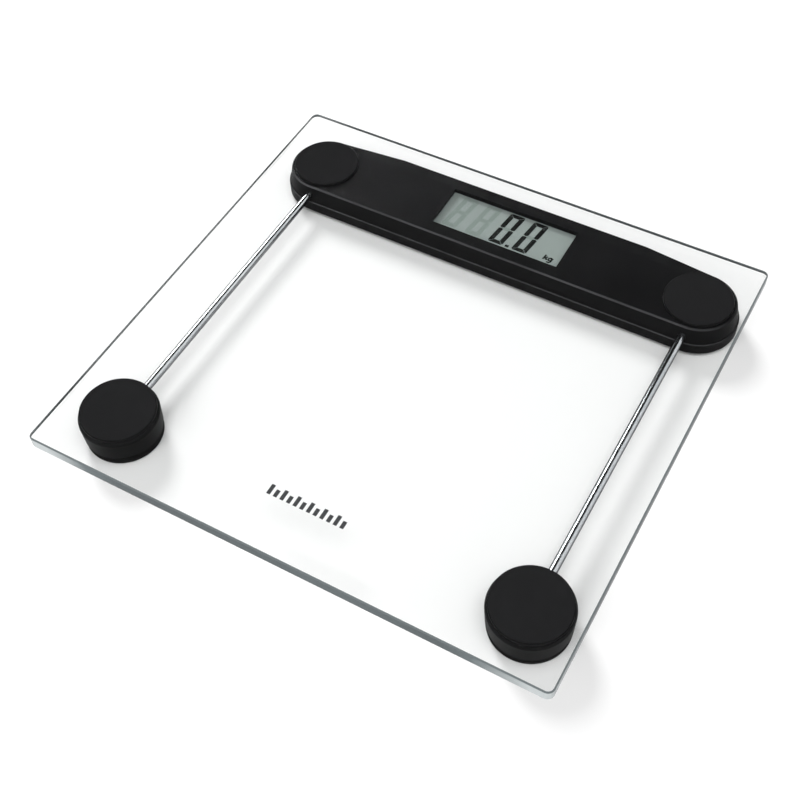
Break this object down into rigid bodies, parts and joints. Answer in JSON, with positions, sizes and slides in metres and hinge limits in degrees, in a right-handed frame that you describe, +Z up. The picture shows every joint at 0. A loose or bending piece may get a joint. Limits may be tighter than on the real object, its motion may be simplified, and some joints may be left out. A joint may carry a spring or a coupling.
{
  "type": "digital bathroom scale",
  "caption": "Clear glass platform scale on a black rear display console and round front feet, joined by chrome wire tubes, with load-cell feet, hinged battery door and unit switch.",
  "frame": {"origin": "centre of the footprint, on the floor", "axes": "+X to the user's right, +Y towards the display, +Z up"},
  "size_m": [0.315, 0.3, 0.03],
  "materials": {
    "clear_glass": "polished clear tempered glass with ground edges",
    "adhesive_black": "black bonding adhesive",
    "black_shell": "matt black moulded plastic with a fine grain",
    "black_base": "matt black moulded plastic, underside part",
    "zinc_steel": "zinc plated steel",
    "lens_clear": "clear moulded window",
    "lcd_face": "grey-green liquid crystal polariser film",
    "lcd_glass": "thin display glass",
    "reflector_film": "satin silver-grey reflector film",
    "holder_plastic": "off-white moulded plastic",
    "zebra_rubber": "layered conductive silicone rubber",
    "pcb_green": "green solder resist on glass-fibre board",
    "epoxy_black": "glossy black epoxy",
    "component_body": "small moulded component bodies",
    "switch_metal": "tin plated switch shell",
    "switch_knob": "off-white moulded plastic",
    "cell_can": "stainless steel battery can",
    "contact_metal": "nickel plated phosphor bronze",
    "wire_red": "red PVC insulation",
    "wire_black": "black PVC insulation",
    "door_plastic": "matt black moulded plastic",
    "chrome_tube": "polished chrome plate",
    "cell_steel": "stamped spring steel with light directional grain",
    "silicone_white": "white silicone bead",
    "retainer_plastic": "dark grey moulded plastic",
    "wire_mixed": "red, white and black PVC insulation",
    "carrier_plastic": "black acetal",
    "black_rubber": "soft black rubber"
  },
  "bodies": {
    "scale_body": {"glass_platform": "clear_glass", "glass_adhesive_discs": "adhesive_black", "console_top_housing": "black_shell", "console_base": "black_base", "console_base_screws": "zinc_steel", "display_window": "lens_clear", "lcd_front_polariser": "lcd_face", "lcd_front_glass": "lcd_glass", "lcd_rear_glass": "lcd_glass", "lcd_reflector": "reflector_film", "lcd_holder_frame": "holder_plastic", "zebra_connector": "zebra_rubber", "main_pcb": "pcb_green", "pcb_screws": "zinc_steel", "controller_epoxy_dome": "epoxy_black", "pcb_components": "component_body", "unit_switch_body": "switch_metal", "coin_cell": "cell_can", "battery_positive_contact": "contact_metal", "battery_negative_contact": "contact_metal", "battery_positive_lead": "wire_red", "battery_negative_lead": "wire_black", "left_tube": "chrome_tube", "right_tube": "chrome_tube", "tube_set_screws": "zinc_steel", "front_left_housing": "black_shell", "front_right_housing": "black_shell", "front_left_load_cell": "cell_steel", "front_right_load_cell": "cell_steel", "rear_left_load_cell": "cell_steel", "rear_right_load_cell": "cell_steel", "front_left_strain_gauge": "silicone_white", "front_right_strain_gauge": "silicone_white", "rear_left_strain_gauge": "silicone_white", "rear_right_strain_gauge": "silicone_white", "load_cell_retainers": "retainer_plastic", "retainer_screws": "zinc_steel", "front_left_cell_lead": "wire_mixed", "front_right_cell_lead": "wire_mixed", "rear_left_cell_lead": "wire_mixed", "rear_right_cell_lead": "wire_mixed", "front_left_foot_carrier": "carrier_plastic", "front_right_foot_carrier": "carrier_plastic", "rear_left_foot_carrier": "carrier_plastic", "rear_right_foot_carrier": "carrier_plastic", "front_left_foot_sole": "black_rubber", "front_right_foot_sole": "black_rubber", "rear_left_foot_sole": "black_rubber", "rear_right_foot_sole": "black_rubber"},
    "battery_door": {"battery_door": "door_plastic"},
    "unit_switch": {"unit_switch_knob": "switch_knob"}
  },
  "joints": [
    {"name": "battery_door_hinge", "type": "hinge", "parent": "scale_body", "child": "battery_door", "pos_m": [0.078, 0.1282, 0.00265], "axis": [1, 0, 0], "range_deg": [0, 90]},
    {"name": "unit_switch_slide", "type": "slide", "parent": "scale_body", "child": "unit_switch", "axis": [1, 0, 0], "range_m": [0, 0.004]}
  ]
}
